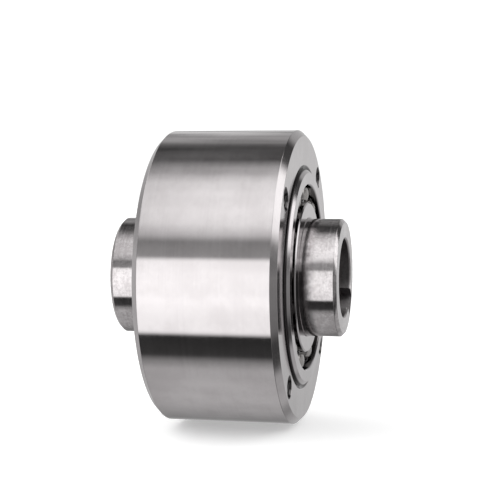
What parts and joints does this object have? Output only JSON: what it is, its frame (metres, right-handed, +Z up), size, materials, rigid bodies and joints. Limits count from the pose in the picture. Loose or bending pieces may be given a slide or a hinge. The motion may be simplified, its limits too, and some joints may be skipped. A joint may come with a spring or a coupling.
{
  "type": "sprag freewheel clutch",
  "caption": "One-way sprag clutch: a ground steel ring on ball bearings turns freely round a keyed sleeve that stands out at both ends.",
  "frame": {"origin": "middle of the sleeve, on the axis of rotation", "axes": "+Y along the axis of rotation towards the front end, whose sleeve stub is the shorter; +Z up"},
  "size_m": [0.075, 0.058, 0.075],
  "materials": {
    "ring_steel": "outside ground round the axis, end faces fine turned",
    "sleeve_steel": "hardened and ground, with a faint mottle near the bearing",
    "race_steel": "ground bearing steel",
    "ball_steel": "polished",
    "ribbon_cage_steel": "pressed sheet steel, satin",
    "rivet_steel": "satin",
    "sprag_steel": "hardened and tumbled",
    "sprag_cage_steel": "pressed sheet steel, oiled",
    "spring_steel": "blue tempered strip"
  },
  "bodies": {
    "sleeve": {"inner_sleeve": "sleeve_steel", "front_bearing_inner_race": "race_steel", "rear_bearing_inner_race": "race_steel"},
    "ring": {"outer_ring": "ring_steel", "front_bearing_outer_race": "race_steel", "rear_bearing_outer_race": "race_steel", "sprag_outer_cage": "sprag_cage_steel", "sprag_inner_cage": "sprag_cage_steel", "sprag_ribbon_spring": "spring_steel"},
    "front_cage": {"front_cage_outside_half": "ribbon_cage_steel", "front_cage_inside_half": "ribbon_cage_steel", "front_cage_rivets": "rivet_steel"},
    "rear_cage": {"rear_cage_outside_half": "ribbon_cage_steel", "rear_cage_inside_half": "ribbon_cage_steel", "rear_cage_rivets": "rivet_steel"},
    "front_ball_01": {"front_ball_01": "ball_steel"},
    "front_ball_02": {"front_ball_02": "ball_steel"},
    "front_ball_03": {"front_ball_03": "ball_steel"},
    "front_ball_04": {"front_ball_04": "ball_steel"},
    "front_ball_05": {"front_ball_05": "ball_steel"},
    "front_ball_06": {"front_ball_06": "ball_steel"},
    "front_ball_07": {"front_ball_07": "ball_steel"},
    "front_ball_08": {"front_ball_08": "ball_steel"},
    "front_ball_09": {"front_ball_09": "ball_steel"},
    "front_ball_10": {"front_ball_10": "ball_steel"},
    "front_ball_11": {"front_ball_11": "ball_steel"},
    "front_ball_12": {"front_ball_12": "ball_steel"},
    "rear_ball_01": {"rear_ball_01": "ball_steel"},
    "rear_ball_02": {"rear_ball_02": "ball_steel"},
    "rear_ball_03": {"rear_ball_03": "ball_steel"},
    "rear_ball_04": {"rear_ball_04": "ball_steel"},
    "rear_ball_05": {"rear_ball_05": "ball_steel"},
    "rear_ball_06": {"rear_ball_06": "ball_steel"},
    "rear_ball_07": {"rear_ball_07": "ball_steel"},
    "rear_ball_08": {"rear_ball_08": "ball_steel"},
    "rear_ball_09": {"rear_ball_09": "ball_steel"},
    "rear_ball_10": {"rear_ball_10": "ball_steel"},
    "rear_ball_11": {"rear_ball_11": "ball_steel"},
    "rear_ball_12": {"rear_ball_12": "ball_steel"},
    "sprag_01": {"sprag_01": "sprag_steel"},
    "sprag_02": {"sprag_02": "sprag_steel"},
    "sprag_03": {"sprag_03": "sprag_steel"},
    "sprag_04": {"sprag_04": "sprag_steel"},
    "sprag_05": {"sprag_05": "sprag_steel"},
    "sprag_06": {"sprag_06": "sprag_steel"},
    "sprag_07": {"sprag_07": "sprag_steel"},
    "sprag_08": {"sprag_08": "sprag_steel"},
    "sprag_09": {"sprag_09": "sprag_steel"},
    "sprag_10": {"sprag_10": "sprag_steel"},
    "sprag_11": {"sprag_11": "sprag_steel"},
    "sprag_12": {"sprag_12": "sprag_steel"},
    "sprag_13": {"sprag_13": "sprag_steel"},
    "sprag_14": {"sprag_14": "sprag_steel"}
  },
  "joints": [
    {"name": "outer_spin", "type": "hinge", "parent": "sleeve", "child": "ring", "pos_m": [0, 0, 0], "axis": [0, 1, 0], "continuous": true},
    {"name": "front_cage_spin", "type": "hinge", "parent": "sleeve", "child": "front_cage", "pos_m": [0, 0, 0], "axis": [0, 1, 0], "continuous": true},
    {"name": "rear_cage_spin", "type": "hinge", "parent": "sleeve", "child": "rear_cage", "pos_m": [0, 0, 0], "axis": [0, 1, 0], "continuous": true},
    {"name": "front_ball_01_spin", "type": "hinge", "parent": "front_cage", "child": "front_ball_01", "pos_m": [0.0197, 0.0152, -0.00836], "axis": [0, 1, 0], "continuous": true},
    {"name": "front_ball_02_spin", "type": "hinge", "parent": "front_cage", "child": "front_ball_02", "pos_m": [0.01288, 0.0152, -0.01709], "axis": [0, 1, 0], "continuous": true},
    {"name": "front_ball_03_spin", "type": "hinge", "parent": "front_cage", "child": "front_ball_03", "pos_m": [0.00261, 0.0152, -0.02124], "axis": [0, 1, 0], "continuous": true},
    {"name": "front_ball_04_spin", "type": "hinge", "parent": "front_cage", "child": "front_ball_04", "pos_m": [-0.00836, 0.0152, -0.0197], "axis": [0, 1, 0], "continuous": true},
    {"name": "front_ball_05_spin", "type": "hinge", "parent": "front_cage", "child": "front_ball_05", "pos_m": [-0.01709, 0.0152, -0.01288], "axis": [0, 1, 0], "continuous": true},
    {"name": "front_ball_06_spin", "type": "hinge", "parent": "front_cage", "child": "front_ball_06", "pos_m": [-0.02124, 0.0152, -0.00261], "axis": [0, 1, 0], "continuous": true},
    {"name": "front_ball_07_spin", "type": "hinge", "parent": "front_cage", "child": "front_ball_07", "pos_m": [-0.0197, 0.0152, 0.00836], "axis": [0, 1, 0], "continuous": true},
    {"name": "front_ball_08_spin", "type": "hinge", "parent": "front_cage", "child": "front_ball_08", "pos_m": [-0.01288, 0.0152, 0.01709], "axis": [0, 1, 0], "continuous": true},
    {"name": "front_ball_09_spin", "type": "hinge", "parent": "front_cage", "child": "front_ball_09", "pos_m": [-0.00261, 0.0152, 0.02124], "axis": [0, 1, 0], "continuous": true},
    {"name": "front_ball_10_spin", "type": "hinge", "parent": "front_cage", "child": "front_ball_10", "pos_m": [0.00836, 0.0152, 0.0197], "axis": [0, 1, 0], "continuous": true},
    {"name": "front_ball_11_spin", "type": "hinge", "parent": "front_cage", "child": "front_ball_11", "pos_m": [0.01709, 0.0152, 0.01288], "axis": [0, 1, 0], "continuous": true},
    {"name": "front_ball_12_spin", "type": "hinge", "parent": "front_cage", "child": "front_ball_12", "pos_m": [0.02124, 0.0152, 0.00261], "axis": [0, 1, 0], "continuous": true},
    {"name": "rear_ball_01_spin", "type": "hinge", "parent": "rear_cage", "child": "rear_ball_01", "pos_m": [0.0197, -0.0132, -0.00836], "axis": [0, 1, 0], "continuous": true},
    {"name": "rear_ball_02_spin", "type": "hinge", "parent": "rear_cage", "child": "rear_ball_02", "pos_m": [0.01288, -0.0132, -0.01709], "axis": [0, 1, 0], "continuous": true},
    {"name": "rear_ball_03_spin", "type": "hinge", "parent": "rear_cage", "child": "rear_ball_03", "pos_m": [0.00261, -0.0132, -0.02124], "axis": [0, 1, 0], "continuous": true},
    {"name": "rear_ball_04_spin", "type": "hinge", "parent": "rear_cage", "child": "rear_ball_04", "pos_m": [-0.00836, -0.0132, -0.0197], "axis": [0, 1, 0], "continuous": true},
    {"name": "rear_ball_05_spin", "type": "hinge", "parent": "rear_cage", "child": "rear_ball_05", "pos_m": [-0.01709, -0.0132, -0.01288], "axis": [0, 1, 0], "continuous": true},
    {"name": "rear_ball_06_spin", "type": "hinge", "parent": "rear_cage", "child": "rear_ball_06", "pos_m": [-0.02124, -0.0132, -0.00261], "axis": [0, 1, 0], "continuous": true},
    {"name": "rear_ball_07_spin", "type": "hinge", "parent": "rear_cage", "child": "rear_ball_07", "pos_m": [-0.0197, -0.0132, 0.00836], "axis": [0, 1, 0], "continuous": true},
    {"name": "rear_ball_08_spin", "type": "hinge", "parent": "rear_cage", "child": "rear_ball_08", "pos_m": [-0.01288, -0.0132, 0.01709], "axis": [0, 1, 0], "continuous": true},
    {"name": "rear_ball_09_spin", "type": "hinge", "parent": "rear_cage", "child": "rear_ball_09", "pos_m": [-0.00261, -0.0132, 0.02124], "axis": [0, 1, 0], "continuous": true},
    {"name": "rear_ball_10_spin", "type": "hinge", "parent": "rear_cage", "child": "rear_ball_10", "pos_m": [0.00836, -0.0132, 0.0197], "axis": [0, 1, 0], "continuous": true},
    {"name": "rear_ball_11_spin", "type": "hinge", "parent": "rear_cage", "child": "rear_ball_11", "pos_m": [0.01709, -0.0132, 0.01288], "axis": [0, 1, 0], "continuous": true},
    {"name": "rear_ball_12_spin", "type": "hinge", "parent": "rear_cage", "child": "rear_ball_12", "pos_m": [0.02124, -0.0132, 0.00261], "axis": [0, 1, 0], "continuous": true},
    {"name": "sprag_01_rock", "type": "hinge", "parent": "ring", "child": "sprag_01", "pos_m": [0.02066, 0.001, 0], "axis": [0, 1, 0], "range_deg": [-4, 4]},
    {"name": "sprag_02_rock", "type": "hinge", "parent": "ring", "child": "sprag_02", "pos_m": [0.01862, 0.001, -0.00897], "axis": [0, 1, 0], "range_deg": [-4, 4]},
    {"name": "sprag_03_rock", "type": "hinge", "parent": "ring", "child": "sprag_03", "pos_m": [0.01288, 0.001, -0.01616], "axis": [0, 1, 0], "range_deg": [-4, 4]},
    {"name": "sprag_04_rock", "type": "hinge", "parent": "ring", "child": "sprag_04", "pos_m": [0.0046, 0.001, -0.02015], "axis": [0, 1, 0], "range_deg": [-4, 4]},
    {"name": "sprag_05_rock", "type": "hinge", "parent": "ring", "child": "sprag_05", "pos_m": [-0.0046, 0.001, -0.02015], "axis": [0, 1, 0], "range_deg": [-4, 4]},
    {"name": "sprag_06_rock", "type": "hinge", "parent": "ring", "child": "sprag_06", "pos_m": [-0.01288, 0.001, -0.01616], "axis": [0, 1, 0], "range_deg": [-4, 4]},
    {"name": "sprag_07_rock", "type": "hinge", "parent": "ring", "child": "sprag_07", "pos_m": [-0.01862, 0.001, -0.00897], "axis": [0, 1, 0], "range_deg": [-4, 4]},
    {"name": "sprag_08_rock", "type": "hinge", "parent": "ring", "child": "sprag_08", "pos_m": [-0.02066, 0.001, 0], "axis": [0, 1, 0], "range_deg": [-4, 4]},
    {"name": "sprag_09_rock", "type": "hinge", "parent": "ring", "child": "sprag_09", "pos_m": [-0.01862, 0.001, 0.00897], "axis": [0, 1, 0], "range_deg": [-4, 4]},
    {"name": "sprag_10_rock", "type": "hinge", "parent": "ring", "child": "sprag_10", "pos_m": [-0.01288, 0.001, 0.01616], "axis": [0, 1, 0], "range_deg": [-4, 4]},
    {"name": "sprag_11_rock", "type": "hinge", "parent": "ring", "child": "sprag_11", "pos_m": [-0.0046, 0.001, 0.02015], "axis": [0, 1, 0], "range_deg": [-4, 4]},
    {"name": "sprag_12_rock", "type": "hinge", "parent": "ring", "child": "sprag_12", "pos_m": [0.0046, 0.001, 0.02015], "axis": [0, 1, 0], "range_deg": [-4, 4]},
    {"name": "sprag_13_rock", "type": "hinge", "parent": "ring", "child": "sprag_13", "pos_m": [0.01288, 0.001, 0.01616], "axis": [0, 1, 0], "range_deg": [-4, 4]},
    {"name": "sprag_14_rock", "type": "hinge", "parent": "ring", "child": "sprag_14", "pos_m": [0.01862, 0.001, 0.00897], "axis": [0, 1, 0], "range_deg": [-4, 4]}
  ],
  "couplings": [
    {"joint": "front_cage_spin", "follows": "outer_spin", "ratio": 0.57418},
    {"joint": "rear_cage_spin", "follows": "outer_spin", "ratio": 0.57418},
    {"joint": "front_ball_01_spin", "follows": "outer_spin", "ratio": 3.2959},
    {"joint": "front_ball_02_spin", "follows": "outer_spin", "ratio": 3.2959},
    {"joint": "front_ball_03_spin", "follows": "outer_spin", "ratio": 3.2959},
    {"joint": "front_ball_04_spin", "follows": "outer_spin", "ratio": 3.2959},
    {"joint": "front_ball_05_spin", "follows": "outer_spin", "ratio": 3.2959},
    {"joint": "front_ball_06_spin", "follows": "outer_spin", "ratio": 3.2959},
    {"joint": "front_ball_07_spin", "follows": "outer_spin", "ratio": 3.2959},
    {"joint": "front_ball_08_spin", "follows": "outer_spin", "ratio": 3.2959},
    {"joint": "front_ball_09_spin", "follows": "outer_spin", "ratio": 3.2959},
    {"joint": "front_ball_10_spin", "follows": "outer_spin", "ratio": 3.2959},
    {"joint": "front_ball_11_spin", "follows": "outer_spin", "ratio": 3.2959},
    {"joint": "front_ball_12_spin", "follows": "outer_spin", "ratio": 3.2959},
    {"joint": "rear_ball_01_spin", "follows": "outer_spin", "ratio": 3.2959},
    {"joint": "rear_ball_02_spin", "follows": "outer_spin", "ratio": 3.2959},
    {"joint": "rear_ball_03_spin", "follows": "outer_spin", "ratio": 3.2959},
    {"joint": "rear_ball_04_spin", "follows": "outer_spin", "ratio": 3.2959},
    {"joint": "rear_ball_05_spin", "follows": "outer_spin", "ratio": 3.2959},
    {"joint": "rear_ball_06_spin", "follows": "outer_spin", "ratio": 3.2959},
    {"joint": "rear_ball_07_spin", "follows": "outer_spin", "ratio": 3.2959},
    {"joint": "rear_ball_08_spin", "follows": "outer_spin", "ratio": 3.2959},
    {"joint": "rear_ball_09_spin", "follows": "outer_spin", "ratio": 3.2959},
    {"joint": "rear_ball_10_spin", "follows": "outer_spin", "ratio": 3.2959},
    {"joint": "rear_ball_11_spin", "follows": "outer_spin", "ratio": 3.2959},
    {"joint": "rear_ball_12_spin", "follows": "outer_spin", "ratio": 3.2959},
    {"joint": "sprag_02_rock", "follows": "sprag_01_rock", "ratio": 1},
    {"joint": "sprag_03_rock", "follows": "sprag_01_rock", "ratio": 1},
    {"joint": "sprag_04_rock", "follows": "sprag_01_rock", "ratio": 1},
    {"joint": "sprag_05_rock", "follows": "sprag_01_rock", "ratio": 1},
    {"joint": "sprag_06_rock", "follows": "sprag_01_rock", "ratio": 1},
    {"joint": "sprag_07_rock", "follows": "sprag_01_rock", "ratio": 1},
    {"joint": "sprag_08_rock", "follows": "sprag_01_rock", "ratio": 1},
    {"joint": "sprag_09_rock", "follows": "sprag_01_rock", "ratio": 1},
    {"joint": "sprag_10_rock", "follows": "sprag_01_rock", "ratio": 1},
    {"joint": "sprag_11_rock", "follows": "sprag_01_rock", "ratio": 1},
    {"joint": "sprag_12_rock", "follows": "sprag_01_rock", "ratio": 1},
    {"joint": "sprag_13_rock", "follows": "sprag_01_rock", "ratio": 1},
    {"joint": "sprag_14_rock", "follows": "sprag_01_rock", "ratio": 1}
  ]
}
